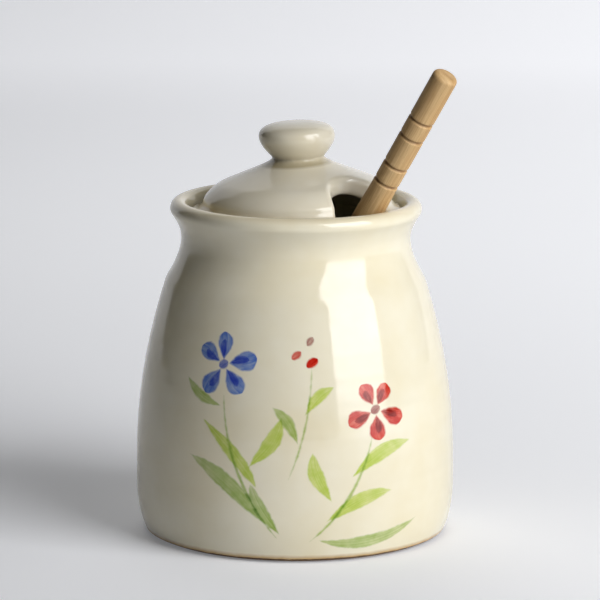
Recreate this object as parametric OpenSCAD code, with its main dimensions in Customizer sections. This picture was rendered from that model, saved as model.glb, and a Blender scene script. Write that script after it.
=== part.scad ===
// Honey pot: a thrown stoneware pot, a loose lid with a notch in its edge, and a turned
// wooden dipper that leans in the pot and comes out through the notch.
// Millimetres, +Z up, origin at the centre of the foot, the notch to the front right.

/* [Pot] */
// Height from the foot to the top of the rim
pot_h = 107.5; // [98:0.5:125]
// Widest diameter of the body
belly_d = 102; // [98:1:116]
// Height of the widest place
belly_z = 25; // [18:1:40]
// Diameter of the flat foot
foot_d = 93.4; // [80:0.2:94]
// Height of the bare clay edge under the glaze
foot_edge_h = 0.8; // [0.4:0.1:1.6]
// Width of the step from the foot out to the glaze
foot_step = 1.4; // [0.6:0.1:1.8]
// Drop from the top of the rim to the ridge of the shoulder
shoulder_drop = 25.5; // [21:0.5:32]
// Diameter at the ridge of the shoulder
shoulder_d = 83.2; // [80:0.2:90]
// Drop from the top of the rim to the narrowest place of the neck
neck_drop = 12.1; // [10:0.1:14]
// Diameter at the narrowest place of the neck
neck_d = 73.4; // [71:0.2:76]
// Thickness of the body's wall
wall_t = 5; // [3:0.5:7]
// Thickness of the floor
floor_t = 6; // [4:0.5:9]

/* [Rim and lid seat] */
// Outer diameter of the rolled lip
rim_d = 80.6; // [79.6:0.2:85]
// Radius of the rolled lip
lip_r = 2.8; // [2.2:0.1:3.2]
// Diameter of the mouth inside the ledge
mouth_d = 62; // [60:0.2:63]
// Radius of the mouth's upper edge
mouth_edge_r = 0.8; // [0.4:0.1:1.2]
// Width of the ledge that carries the lid
ledge_w = 3.6; // [3.2:0.1:3.8]
// Drop from the top of the rim to the ledge
ledge_drop = 5.5; // [4.8:0.1:7]
// Height of the mouth's upright wall under its edge
mouth_wall_h = 4; // [3:0.5:6]

/* [Lid] */
// Clearance between the lid's edge and the wall of its seat
lid_clear = 1.2; // [0.6:0.1:1.4]
// Thickness of the brim, which lies on the ledge
brim_t = 2.6; // [2:0.1:3.4]
// Width of the brim outside the dome
brim_w = 3.4; // [2.6:0.1:4]
// Height of the dome's steepest place over the seat
dome_wall_z = 5.8; // [4.5:0.1:6.5]
// Distance from the dome's steepest place in to where it turns over
dome_turn_in = 6; // [5:0.1:7]
// Height over the seat of the place where the dome turns over
dome_turn_z = 11.8; // [11:0.1:13]
// Distance from the brim's edge in to the hollow
hollow_in = 7.4; // [6:0.1:8.5]
// Height of the hollow under the lid
hollow_h = 12; // [8:0.2:13]

/* [Knob] */
// Widest diameter of the knob
knob_d = 24.4; // [20:0.2:30]
// Diameter of the knob's neck
knob_neck_d = 16.6; // [13:0.2:19]
// Height of the knob's neck over the seat
knob_neck_z = 19.2; // [18:0.1:22]
// Height from the neck to the knob's widest place
knob_flare_h = 6.8; // [5:0.1:9]
// Height from the widest place to the knob's top
knob_crown_h = 4.5; // [3:0.1:7]

/* [Notch] */
// Width of the notch in the lid
notch_w = 22; // [20.5:0.5:25]
// Depth of the notch from the lid's edge
notch_depth = 14.4; // [14:0.1:16]
// Direction of the notch, from the front towards the right, in degrees
notch_az = 46; // [0:1:360]

/* [Dipper] */
// Length of the dipper
dipper_l = 172; // [150:1:190]
// Diameter of the handle
handle_d = 8.2; // [6.4:0.2:8.6]
// Diameter of the swelling below the grooves
swell_d = 8.8; // [8.6:0.1:9.4]
// Length over which the handle swells
swell_l = 16; // [8:1:20]
// Radius of the rounded edge of the handle's end
tip_edge_r = 1.5; // [0.4:0.1:2]
// Widest diameter of the ribbed head
head_d = 24; // [18:0.5:26]
// Radius of the head's round end
head_ball_r = 8; // [7:0.5:8.5]
// Number of ribs on the head
rib_count = 6; // [3:1:7]
// Distance from one rib to the next
rib_pitch = 5; // [4:0.1:5.2]
// Thickness of a rib
rib_t = 3; // [2:0.1:3.4]
// Diameter of the head's core between the ribs
core_d = 10; // [9.2:0.2:12]
// Distance from the pot's inner wall to the middle of the head's round end
head_inset = 15.8; // [14:0.1:20]
// Distance from the pot's centre line to the dipper's axis, seen from above
dipper_off = 1.2; // [0:0.1:2]
// Turn of the dipper away from the middle of the notch, in degrees
dipper_turn = 6; // [2:0.5:7]
// Clearance where the dipper leans and stands
dipper_gap = 0.2; // [0.1:0.05:0.5]

/* [Grooves of the handle] */
// Width of a turned groove
groove_w = 1.3; // [0.6:0.1:2]
// Depth of a turned groove
groove_depth = 0.7; // [0.2:0.05:0.8]
// Distance from the tip to the first groove
groove_tip = 17.5; // [8:0.5:22]
// Distance between the two grooves of a pair
groove_pair = 6.8; // [4:0.1:9]
// Distance between the first pair and the second
groove_pairs = 11.2; // [9.5:0.1:14]

/* [Hidden] */
$fn = 120;

ivory = [0.90, 0.87, 0.78];
cream_grey = [0.86, 0.83, 0.75];
beech = [0.83, 0.70, 0.50];

// Straight pieces in a curve and in an arc
curve_steps = 8;
arc_steps = 8;

belly_r = belly_d / 2;
foot_r = foot_d / 2;
mouth_r = mouth_d / 2;
inner_r = belly_r - wall_t;
shoulder_z = pot_h - shoulder_drop;
neck_z = pot_h - neck_drop;
seat_z = pot_h - ledge_drop;
seat_r = mouth_r + ledge_w;
// Leans of the outer wall, in millimetres outwards for each millimetre upwards
foot_lean = 0.45;
shoulder_lean = -0.31;
collar_lean = -0.62;
// Directions between which the lip is round, in degrees
lip_from = -35;
lip_to = 140;
// Bevel of the corner between the ledge and the rim, outwards and upwards
seat_bevel = [0.3, 1.2];
// Height and width of the round corner between the wall and the floor
floor_corner = [10, 8];

lid_r = seat_r - lid_clear;
hollow_r = lid_r - hollow_in;
// Radius of the brim's rounded edges
brim_edge_r = 0.6;

handle_r = handle_d / 2;
swell_r = swell_d / 2;
head_r = head_d / 2;
core_r = core_d / 2;
head_l = head_ball_r + rib_count * rib_pitch;
// Drop of the outermost ribs below the widest rib, and the bevel of a rib's edges
rib_drop = 2.5;
rib_bevel = 0.6;
// Neck between the head and the handle: how much thinner, and how long
neck_in = 0.6;
neck_l = 12;
grooves = [groove_tip, groove_tip + groove_pair, groove_tip + groove_pair + groove_pairs,
           groove_tip + 2 * groove_pair + groove_pairs];
last_groove = grooves[3];

// The dipper leans in an upright plane. Its round end stands at ball_at, and its axis passes
// the ring that the mouth's rounded edge turns round, edge_at, at the distance lean_gap.
// Both places are [distance outwards from the pot's centre line, height].
dipper_az = notch_az + dipper_turn;
ball_at = [head_inset - inner_r, floor_t + dipper_gap + head_ball_r];
edge_ring_r = mouth_r + mouth_edge_r;
edge_out = sqrt(edge_ring_r * edge_ring_r - dipper_off * dipper_off);
edge_at = [edge_out, seat_z - mouth_edge_r];
lean_gap = (swell_r + dipper_gap + mouth_edge_r) * edge_ring_r / edge_out;
reach = edge_at - ball_at;
dipper_tilt = atan2(reach[0], reach[1]) - asin(lean_gap / norm(reach));

// Point at the share t of a smooth curve that leaves a along da and reaches b along db
function on_curve(a, da, b, db, t) =
    (2 * t * t * t - 3 * t * t + 1) * a + (t * t * t - 2 * t * t + t) * da
    + (3 * t * t - 2 * t * t * t) * b + (t * t * t - t * t) * db;

// Points of that curve after its first one
function curve(a, da, b, db) =
    [for (i = [1 : curve_steps]) on_curve(a, da, b, db, i / curve_steps)];

// Points of a curve between two places of a wall, with the lean at each
function wall_curve(a, lean_a, b, lean_b) =
    curve(a, (b[1] - a[1]) * [lean_a, 1], b, (b[1] - a[1]) * [lean_b, 1]);

// Points of an arc round mid, between two directions in degrees
function arc(mid, r, from, to) =
    [for (i = [0 : arc_steps])
        let (w = from + (to - from) * i / arc_steps)
        mid + r * [cos(w), sin(w)]];

// Half section of the pot as [radius, height]: up the outside, over the lip, down the inside
function pot_outline() =
    let (glaze_start = [foot_r + foot_step, 2 * foot_edge_h],
         belly = [belly_r, belly_z],
         shoulder = [shoulder_d / 2, shoulder_z],
         neck = [neck_d / 2, neck_z],
         lip_mid = [rim_d / 2 - lip_r, pot_h - lip_r],
         lip = arc(lip_mid, lip_r, lip_from, lip_to),
         edge_mid = [edge_ring_r, seat_z - mouth_edge_r],
         mouth_foot = [mouth_r, seat_z - mouth_edge_r - mouth_wall_h],
         inner_shoulder = shoulder - [wall_t, wall_t],
         inner_belly = [inner_r, belly_z],
         corner_top = [inner_r - 0.6, floor_t + floor_corner[0]],
         corner_foot = [inner_r - floor_corner[1], floor_t])
    concat(
        [[0, 0], [foot_r, 0], [foot_r, foot_edge_h], glaze_start],
        wall_curve(glaze_start, foot_lean, belly, 0),
        wall_curve(belly, 0, shoulder, shoulder_lean),
        wall_curve(shoulder, collar_lean, neck, 0),
        wall_curve(neck, 0, lip[0], -tan(lip_from)),
        lip,
        [[seat_r, seat_z] + seat_bevel, [seat_r, seat_z]],
        arc(edge_mid, mouth_edge_r, 90, 180),
        [mouth_foot],
        wall_curve(mouth_foot, 0, inner_shoulder, shoulder_lean),
        wall_curve(inner_shoulder, shoulder_lean, inner_belly, 0),
        [corner_top],
        curve(corner_top, [0, -floor_corner[0]], corner_foot, [-floor_corner[1], 0]),
        [[0, floor_t]]);

// Half section of the lid over its seat: up the edge, the dome and the knob, then the hollow
function lid_outline() =
    let (low_mid = [lid_r - brim_edge_r, brim_edge_r],
         high_mid = [lid_r - brim_edge_r, brim_t - brim_edge_r],
         brim_top = [lid_r - brim_edge_r, brim_t],
         wall = [lid_r - brim_w, dome_wall_z],
         turn = wall - [dome_turn_in, 0] + [0, dome_turn_z - dome_wall_z],
         neck = [knob_neck_d / 2, knob_neck_z],
         wide = [knob_d / 2, knob_neck_z + knob_flare_h],
         top = [0, wide[1] + knob_crown_h],
         hollow_foot = [hollow_r, 0],
         hollow_top = [0, hollow_h])
    concat(
        arc(low_mid, brim_edge_r, -90, 0),
        arc(high_mid, brim_edge_r, 0, 90),
        curve(brim_top, [-brim_w, 0], wall, [0, dome_wall_z - brim_t]),
        curve(wall, [0, dome_wall_z - 0.8], turn, dome_turn_in * [-1.33, 0.6]),
        curve(turn, (turn[0] - neck[0]) * [-0.9, 0.4], neck, [0, 0.65 * (neck[1] - turn[1])]),
        curve(neck, [0, 0.75 * knob_flare_h], wide, [0, 0.9 * knob_flare_h]),
        curve(wide, [0, 2.6 * knob_crown_h], top, [-0.8 * knob_d, 0]),
        [hollow_top],
        curve(hollow_top, [1.15 * hollow_r, 0], hollow_foot, [0, -1.8 * hollow_h]));

// Radius of rib i: the ribs make a barrel
function rib_r(i) =
    let (mid = (rib_count - 1) / 2)
    head_r - rib_drop * pow((i - mid) / mid, 2);

// Half section of the dipper as [radius, distance from the round end]
function dipper_outline() =
    let (swell_top = [swell_r, dipper_l - last_groove - groove_w - swell_l],
         handle_foot = [handle_r, dipper_l - last_groove - groove_w])
    concat(
        arc([0, head_ball_r], head_ball_r, -90, 0),
        [for (i = [0 : rib_count - 1])
            let (r = rib_r(i), top = head_ball_r + (i + 1) * rib_pitch, foot = top - rib_t)
            each [[core_r, foot], [r - rib_bevel, foot], [r, foot + rib_bevel],
                  [r, top - rib_bevel], [r - rib_bevel, top], [core_r, top]]],
        [[swell_r - neck_in, head_l], [swell_r, head_l + neck_l], swell_top],
        wall_curve(swell_top, 0, handle_foot, 0),
        [for (k = [len(grooves) - 1 : -1 : 0])
            let (z = dipper_l - grooves[k], deep = handle_r - groove_depth)
            each [[handle_r, z - groove_w / 2], [deep, z - groove_w / 4],
                  [deep, z + groove_w / 4], [handle_r, z + groove_w / 2]]],
        arc([handle_r - tip_edge_r, dipper_l - tip_edge_r], tip_edge_r, 0, 90),
        [[0, dipper_l]]);

// Turns a piece drawn towards +X so that it faces the azimuth az, from the front to the right
module face(az)
{
    rotate([0, 0, az - 90])
        children();
}

// The notch's room: round at its inner end and open past the lid's edge
module notch_cut()
{
    notch_r = notch_w / 2;
    mid = lid_r - notch_depth + notch_r;
    face(notch_az)
        translate([mid, 0, seat_z - 1])
        {
            cylinder(h = knob_neck_z + 2, r = notch_r);
            translate([0, -notch_r, 0])
                cube([notch_w, notch_w, knob_neck_z + 2]);
        }
}

module pot()
{
    color(ivory)
        rotate_extrude()
            polygon(pot_outline());
}

module lid()
{
    color(cream_grey)
        difference()
        {
            translate([0, 0, seat_z])
                rotate_extrude()
                    polygon(lid_outline());
            notch_cut();
        }
}

module dipper()
{
    color(beech)
        face(dipper_az)
            translate([ball_at[0], dipper_off, ball_at[1]])
                rotate([0, dipper_tilt, 0])
                    translate([0, 0, -head_ball_r])
                        rotate_extrude()
                            polygon(dipper_outline());
}

pot();
lid();
dipper();
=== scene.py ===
import math

import bmesh
import bpy
import numpy as np
from mathutils import Matrix, Vector


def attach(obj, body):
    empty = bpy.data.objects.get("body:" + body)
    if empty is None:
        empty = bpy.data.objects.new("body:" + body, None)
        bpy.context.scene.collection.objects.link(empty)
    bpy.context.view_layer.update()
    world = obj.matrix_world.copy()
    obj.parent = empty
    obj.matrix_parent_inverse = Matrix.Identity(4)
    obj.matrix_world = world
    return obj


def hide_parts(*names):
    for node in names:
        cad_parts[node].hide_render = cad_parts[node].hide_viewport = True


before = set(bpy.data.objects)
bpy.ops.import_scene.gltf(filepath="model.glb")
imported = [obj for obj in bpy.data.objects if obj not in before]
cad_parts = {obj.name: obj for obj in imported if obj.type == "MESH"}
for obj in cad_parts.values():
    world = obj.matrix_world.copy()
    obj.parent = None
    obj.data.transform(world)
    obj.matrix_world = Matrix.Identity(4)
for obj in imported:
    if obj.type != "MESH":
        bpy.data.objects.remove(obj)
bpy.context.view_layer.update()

scene = bpy.context.scene

# The camera: 1.4 m in front of the pot, 11.55 degrees above its middle, with a long lens.
# It is turned by the small angles that bring the pot to its place in the photograph.
view_distance = 1.4
view_drop = math.radians(11.55)
view_roll = math.radians(0.2)
image_px = 600
px_per_metre = 3110
middle_px = (4.345, 44.316)
focal_px = view_distance * px_per_metre

forward = Vector((0, math.cos(view_drop), -math.sin(view_drop)))
upward = Vector((0, math.sin(view_drop), math.cos(view_drop)))
sideways = Vector((1, 0, 0))
stand = Vector((0, 0, 0.060)) - view_distance * forward
look = (forward + sideways * middle_px[0] / focal_px + upward * middle_px[1] / focal_px).normalized()
right = sideways * math.cos(view_roll) + upward * math.sin(view_roll)
right = (right - look * right.dot(look)).normalized()
over = right.cross(look)

camera_data = bpy.data.cameras.new("camera")
camera_data.sensor_width = 36
camera_data.lens = 36 * focal_px / image_px
camera_data.clip_start = 0.05
camera_data.clip_end = 20
camera = bpy.data.objects.new("camera", camera_data)
scene.collection.objects.link(camera)
camera.matrix_world = Matrix((
    (right.x, over.x, -look.x, stand.x),
    (right.y, over.y, -look.y, stand.y),
    (right.z, over.z, -look.z, stand.z),
    (0, 0, 0, 1)))
scene.camera = camera


# The pot: one piece of stoneware, thrown on a wheel, trimmed flat underneath, then painted
# and dipped in a glossy cream glaze. The glaze stops just above the foot.
# Sizes in this section are millimetres: [distance from the axis, height].
MM = 0.001
pot_height = 107.5
foot_radius = 46.7
belly = np.array([51.0, 25.0])
shoulder = np.array([41.6, pot_height - 25.5])
neck = np.array([36.7, pot_height - 12.1])
lip_middle = np.array([37.5, pot_height - 2.8])
lip_radius = 2.8
wall = 5.0
floor_height = 6.0
seat_height = pot_height - 5.5
seat_radius = 34.6
mouth_radius = 31.0
mouth_edge = 0.8


def smooth_curve(a, leave, b, arrive, steps=24):
    """Points after the first of a curve that leaves a along leave and reaches b along arrive."""
    t = np.linspace(0, 1, steps + 1)[1:, None]
    return ((2 * t**3 - 3 * t**2 + 1) * np.array(a) + (t**3 - 2 * t**2 + t) * np.array(leave)
            + (3 * t**2 - 2 * t**3) * np.array(b) + (t**3 - t**2) * np.array(arrive))


def wall_curve(a, lean_a, b, lean_b, steps=24):
    """A curve between two places of a wall, with its lean outwards for each unit of height."""
    rise = b[1] - a[1]
    return smooth_curve(a, (rise * lean_a, rise), b, (rise * lean_b, rise), steps)


def round_edge(middle, radius, start, end, steps=10):
    """Points of an arc between two directions in degrees."""
    turn = np.radians(np.linspace(start, end, steps + 1))[:, None]
    return np.array(middle) + radius * np.hstack([np.cos(turn), np.sin(turn)])


def soften(points, keep, reach=1.2):
    """Rounds the creases of an outline over about reach, apart from the stretch in keep."""
    points = np.array(points, float)
    gap = np.hypot(*np.diff(points, axis=0).T)
    along = np.concatenate([[0], np.cumsum(gap)])
    out = points.copy()
    for i in range(1, len(points) - 1):
        if keep(points[i]):
            continue
        near = np.exp(-0.5 * ((along - along[i]) / reach) ** 2)
        width = np.gradient(along)
        share = near * width
        out[i] = (share[:, None] * points).sum(0) / share.sum()
    return out


foot_shade = round_edge((foot_radius + 1.0, 1.7), 0.9, -80, -10, 5)
lip = round_edge(lip_middle, lip_radius, -35, 140, 28)
mouth_rim = round_edge((mouth_radius + mouth_edge, seat_height - mouth_edge), mouth_edge, 90, 180, 8)
mouth_foot = np.array([mouth_radius, seat_height - mouth_edge - 4])
inner_shoulder = shoulder - wall
inner_belly = np.array([belly[0] - wall, belly[1]])
corner_top = inner_belly + [-0.6, floor_height + 10 - belly[1]]
corner_foot = np.array([inner_belly[0] - 8, floor_height])

outside = np.vstack([
    foot_shade,
    wall_curve(foot_shade[-1], 0.42, belly, 0, 30),
    wall_curve(belly, 0, shoulder, -0.31, 60),
    wall_curve(shoulder, -0.62, neck, 0, 24),
    wall_curve(neck, 0, lip[0], math.tan(math.radians(35)), 12)])
outside = soften(outside, lambda p: p[1] < 6, 1.0)
inside = np.vstack([
    [mouth_foot],
    wall_curve(mouth_foot, 0, inner_shoulder, -0.31, 24),
    wall_curve(inner_shoulder, -0.31, inner_belly, 0, 40),
    [corner_top],
    smooth_curve(corner_top, (0, -10), corner_foot, (-8, 0), 14)])
inside = soften(inside, lambda p: p[1] > 97, 1.0)
pot_outline = np.vstack([
    [(0, 0.3), (12, 0.3), (24, 0.3), (36, 0.3), (40.5, 0.3), (41.4, 0.08), (42.2, 0)],
    [(foot_radius - 0.7, 0), (foot_radius - 0.2, 0.18), (foot_radius, 0.6)],
    outside,
    lip[1:],
    [(seat_radius + 0.3, seat_height + 1.2), (seat_radius + 0.1, seat_height + 0.4),
     (seat_radius - 0.2, seat_height + 0.1), (seat_radius - 0.7, seat_height)],
    mouth_rim,
    inside,
    [(30, floor_height - 0.1), (20, floor_height), (10, floor_height + 0.1), (0, floor_height + 0.2)]])


def turned_mesh(name, outline, around, shape=lambda points: points):
    """A closed mesh, in metres, of a half section in millimetres turned about Z."""
    rings = []
    turn = np.linspace(0, 2 * math.pi, around, endpoint=False)
    for out, up in outline[1:-1]:
        rings.append(np.stack([out * np.cos(turn), out * np.sin(turn), np.full(around, up)], 1))
    points = np.vstack(rings + [[(0, 0, outline[0][1])], [(0, 0, outline[-1][1])]])
    points = shape(points) * MM
    first, last = len(points) - 2, len(points) - 1
    faces = []
    for j in range(around):
        k = (j + 1) % around
        faces.append((first, k, j))
        for i in range(len(rings) - 1):
            a, b = i * around, (i + 1) * around
            faces.append((a + j, a + k, b + k, b + j))
        top = (len(rings) - 1) * around
        faces.append((last, top + j, top + k))
    mesh = bpy.data.meshes.new(name)
    mesh.from_pydata(points.tolist(), [], faces)
    mesh.polygons.foreach_set("use_smooth", [True] * len(mesh.polygons))
    mesh.update()
    return mesh


def add_piece(name, mesh):
    """Puts a finished mesh into the scene, unturned and unscaled."""
    piece = bpy.data.objects.new(name, mesh)
    scene.collection.objects.link(piece)
    return piece


def thrown(points):
    """The slight rings and the slow wander that a wheel and two hands leave in a wall."""
    turn = np.arctan2(points[:, 1], points[:, 0])
    out = np.hypot(points[:, 0], points[:, 1])
    up = points[:, 2]
    climb = up - 6.5 * turn / (2 * math.pi)
    rings = 0.018 * np.sin(2 * math.pi * climb / 6.5) + 0.012 * np.sin(2 * math.pi * climb / 3.7 + 1)
    wander = 0.10 * np.sin(2 * turn + up / 30) + 0.05 * np.sin(3 * turn + 1 - up / 22)
    high = np.clip((up - 4) / 12, 0, 1)
    change = (rings + wander) * high
    grown = points.copy()
    share = np.where(out > 1, (out + change) / np.maximum(out, 1), 1)
    grown[:, 0] *= share
    grown[:, 1] *= share
    return grown


pot_sides = 256
pot = add_piece("thrown_pot", turned_mesh("thrown_pot", pot_outline, pot_sides, thrown))
# 1 on the side that the painter could reach, up to the middle of the lip, and 0 inside
foot_rings = 10
lip_rings = 14
reachable = (foot_rings + len(outside) + lip_rings) * pot_sides
on_outside = pot.data.attributes.new("outside", "FLOAT", "POINT")
on_outside.data.foreach_set("value", [1.0 if i < reachable else 0.0 for i in range(len(pot.data.vertices))])


def colour(code):
    """An sRGB hex code as linear red, green, blue and alpha."""
    parts = [int(code[i:i + 2], 16) / 255 for i in (1, 3, 5)]
    return [c / 12.92 if c <= 0.04045 else ((c + 0.055) / 1.055) ** 2.4 for c in parts] + [1]


def outlet(value):
    """A node's first live output; anything else as it is."""
    if isinstance(value, bpy.types.Node):
        return next(socket for socket in value.outputs if socket.enabled)
    return value


def fill(tree, node, inputs):
    """Fills or links a node's live inputs, by name or number."""
    for key, value in inputs.items():
        inlet = node.inputs[key] if isinstance(key, int) else next(
            socket for socket in node.inputs if socket.name == key and socket.enabled)
        value = outlet(value)
        if isinstance(value, bpy.types.NodeSocket):
            tree.links.new(value, inlet)
        else:
            inlet.default_value = value


def add(tree, kind, inputs=None, **settings):
    """Adds a node, sets its properties, then fills or links its inputs."""
    node = tree.nodes.new(kind)
    for key, value in settings.items():
        setattr(node, key, value)
    fill(tree, node, inputs or {})
    return node


def new_material(name):
    """An empty node material, with its output and its Principled shader linked."""
    material = bpy.data.materials.new(name)
    material.use_nodes = True
    tree = material.node_tree
    tree.nodes.clear()
    shader = add(tree, "ShaderNodeBsdfPrincipled")
    add(tree, "ShaderNodeOutputMaterial", {"Surface": shader.outputs["BSDF"]})
    return material, tree, shader


def new_group(name, inputs, outputs):
    """An empty shader node group with its named sockets, its input node and its output node."""
    group = bpy.data.node_groups.new(name, "ShaderNodeTree")
    for label, kind in inputs:
        group.interface.new_socket(label, in_out="INPUT", socket_type="NodeSocket" + kind)
    for label, kind in outputs:
        group.interface.new_socket(label, in_out="OUTPUT", socket_type="NodeSocket" + kind)
    return group, add(group, "NodeGroupInput"), add(group, "NodeGroupOutput")


# Fired glaze: its colour drifts a little with its thickness, a few iron specks have burnt
# through from the clay, and its gloss has the faint unevenness of orange peel.
fired, fired_in, fired_out = new_group(
    "fired glaze", [("Colour", "Color")], [("Colour", "Color"), ("Roughness", "Float"), ("Normal", "Vector")])
place = add(fired, "ShaderNodeTexCoord").outputs["Object"]
drift = add(fired, "ShaderNodeTexNoise", {"Vector": place, "Scale": 38, "Detail": 3, "Roughness": 0.6})
drift = add(fired, "ShaderNodeMapRange", {"Value": drift.outputs["Fac"], "From Min": 0.3, "From Max": 0.7,
                                          "To Min": 0, "To Max": 1})
thin = add(fired, "ShaderNodeMix", {"Factor": drift, "A": fired_in.outputs["Colour"], "B": colour("#F9F5EA")},
           data_type="RGBA", blend_type="MULTIPLY")
speck = add(fired, "ShaderNodeTexVoronoi", {"Vector": place, "Scale": 95, "Randomness": 1})
lot = add(fired, "ShaderNodeSeparateColor", {"Color": speck.outputs["Color"]})
size = add(fired, "ShaderNodeMapRange", {"Value": lot.outputs["Red"], "From Min": 0.93, "From Max": 1,
                                         "To Min": 0, "To Max": 0.042})
speck = add(fired, "ShaderNodeMath", {0: size, 1: speck.outputs["Distance"]}, operation="SUBTRACT")
speck = add(fired, "ShaderNodeMath", {0: speck, 1: 40}, operation="MULTIPLY", use_clamp=True)
speck = add(fired, "ShaderNodeMath", {0: speck, 1: 0.7}, operation="MULTIPLY")
burnt = add(fired, "ShaderNodeMix", {"Factor": speck, "A": thin, "B": colour("#7A5A34")},
            data_type="RGBA")
peel = add(fired, "ShaderNodeTexNoise", {"Vector": place, "Scale": 210, "Detail": 2, "Roughness": 0.5})
peel = add(fired, "ShaderNodeBump", {"Height": peel.outputs["Fac"], "Strength": 0.05, "Distance": 0.0004})
cloud = add(fired, "ShaderNodeMapRange", {"Value": drift, "To Min": 0.07, "To Max": 0.11})
fill(fired, fired_out, {"Colour": burnt, "Roughness": cloud, "Normal": peel})

# One stroke of a loaded round brush, in underglaze colour that stains the glaze. Place is where
# a point of the wall lies, in millimetres round the pot and up. The stroke leaves Start at the
# angle Turn for the length in Size, bends sideways, and is paler towards its end by Fade.
brush, held, left = new_group(
    "brush stroke",
    [("Paint", "Color"), ("Hairs", "Vector"), ("Place", "Vector"), ("Tremor", "Float"), ("Start", "Vector"),
     ("Turn", "Vector"), ("Size", "Vector"), ("Half width", "Float"), ("Bend", "Float"), ("Belly", "Float"),
     ("Taper", "Float"), ("Pigment", "Color"), ("Load", "Float"), ("Fade", "Float")],
    [("Paint", "Color"), ("Hairs", "Vector")])
held = held.outputs
local = add(brush, "ShaderNodeMapping", {
    "Vector": held["Place"], "Location": held["Start"], "Rotation": held["Turn"], "Scale": held["Size"]},
    vector_type="TEXTURE")
local = add(brush, "ShaderNodeSeparateXYZ", {"Vector": local})
gone = add(brush, "ShaderNodeMath", {0: local.outputs["X"], 1: held["Belly"]},
           operation="POWER", use_clamp=True)
rest = add(brush, "ShaderNodeMath", {0: 1, 1: gone}, operation="SUBTRACT")
swell = add(brush, "ShaderNodeMath", {0: gone, 1: rest}, operation="MULTIPLY")
swell = add(brush, "ShaderNodeMath", {0: swell, 1: 4}, operation="MULTIPLY")
aside = add(brush, "ShaderNodeMath", {0: swell, 1: held["Bend"], 2: local.outputs["Y"]},
            operation="MULTIPLY_ADD")
edge = add(brush, "ShaderNodeMath", {0: swell, 1: held["Taper"]}, operation="POWER")
edge = add(brush, "ShaderNodeMath", {0: edge, 1: held["Half width"], 2: held["Tremor"]},
           operation="MULTIPLY_ADD")
off = add(brush, "ShaderNodeMath", {0: aside}, operation="ABSOLUTE")
deep = add(brush, "ShaderNodeMath", {0: edge, 1: off}, operation="SUBTRACT")
wet = add(brush, "ShaderNodeMapRange", {"Value": deep, "From Min": -0.1, "From Max": 0.7},
          interpolation_type="SMOOTHSTEP")
load = add(brush, "ShaderNodeMath", {0: local.outputs["X"], 1: held["Fade"], 2: held["Load"]},
           operation="MULTIPLY_ADD")
load = add(brush, "ShaderNodeMath", {0: load, 1: wet}, operation="MULTIPLY", use_clamp=True)
stain = add(brush, "ShaderNodeMix", {"Factor": load, "A": held["Paint"], "B": held["Pigment"]},
            data_type="RGBA", blend_type="MULTIPLY")
hairs = add(brush, "ShaderNodeCombineXYZ", {"X": local.outputs["X"], "Y": aside, "Z": held["Half width"]})
hairs = add(brush, "ShaderNodeMix", {"Factor": wet, "A": held["Hairs"], "B": hairs}, data_type="VECTOR")
fill(brush, left, {"Paint": stain, "Hairs": hairs})

# Five petals round a middle: the wall's points are turned onto one petal, whose reach then
# differs a little from petal to petal.
petals, held, left = new_group(
    "petals", [("Place", "Vector"), ("Middle", "Vector"), ("Turn", "Vector")], [("Place", "Vector")])
held = held.outputs
local = add(petals, "ShaderNodeMapping", {"Vector": held["Place"], "Location": held["Middle"],
                                          "Rotation": held["Turn"]}, vector_type="TEXTURE")
reach = add(petals, "ShaderNodeVectorMath", {0: local}, operation="LENGTH")
local = add(petals, "ShaderNodeSeparateXYZ", {"Vector": local})
turn = add(petals, "ShaderNodeMath", {0: local.outputs["Y"], 1: local.outputs["X"]}, operation="ARCTAN2")
which = add(petals, "ShaderNodeMath", {0: turn, 1: 5 / (2 * math.pi)}, operation="MULTIPLY")
which = add(petals, "ShaderNodeMath", {0: which}, operation="ROUND")
turn = add(petals, "ShaderNodeMath", {0: which, 1: -2 * math.pi / 5, 2: turn}, operation="MULTIPLY_ADD")
chance = add(petals, "ShaderNodeTexWhiteNoise", {"W": which}, noise_dimensions="1D")
chance = add(petals, "ShaderNodeSeparateColor", {"Color": chance.outputs["Color"]})
turn = add(petals, "ShaderNodeMath", {0: chance.outputs["Red"], 1: 0.34, 2: turn}, operation="MULTIPLY_ADD")
turn = add(petals, "ShaderNodeMath", {0: turn, 1: 0.17}, operation="SUBTRACT")
grow = add(petals, "ShaderNodeMapRange", {"Value": chance.outputs["Green"], "To Min": 0.88, "To Max": 1.16})
reach = add(petals, "ShaderNodeMath", {0: reach.outputs["Value"], 1: grow}, operation="MULTIPLY")
along = add(petals, "ShaderNodeMath", {0: turn}, operation="COSINE")
aside = add(petals, "ShaderNodeMath", {0: turn}, operation="SINE")
turned = add(petals, "ShaderNodeCombineXYZ", {"X": along, "Y": aside})
turned = add(petals, "ShaderNodeVectorMath", {0: turned, "Scale": reach}, operation="SCALE")
fill(petals, left, {"Place": turned.outputs["Vector"]})

material, tree, shader = new_material("glossy cream glaze on stoneware")
place = add(tree, "ShaderNodeTexCoord").outputs["Object"]
spot = add(tree, "ShaderNodeSeparateXYZ", {"Vector": place})
to_front = add(tree, "ShaderNodeMath", {0: spot.outputs["Y"], 1: -1}, operation="MULTIPLY")
azimuth = add(tree, "ShaderNodeMath", {0: spot.outputs["X"], 1: to_front}, operation="ARCTAN2")
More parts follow.
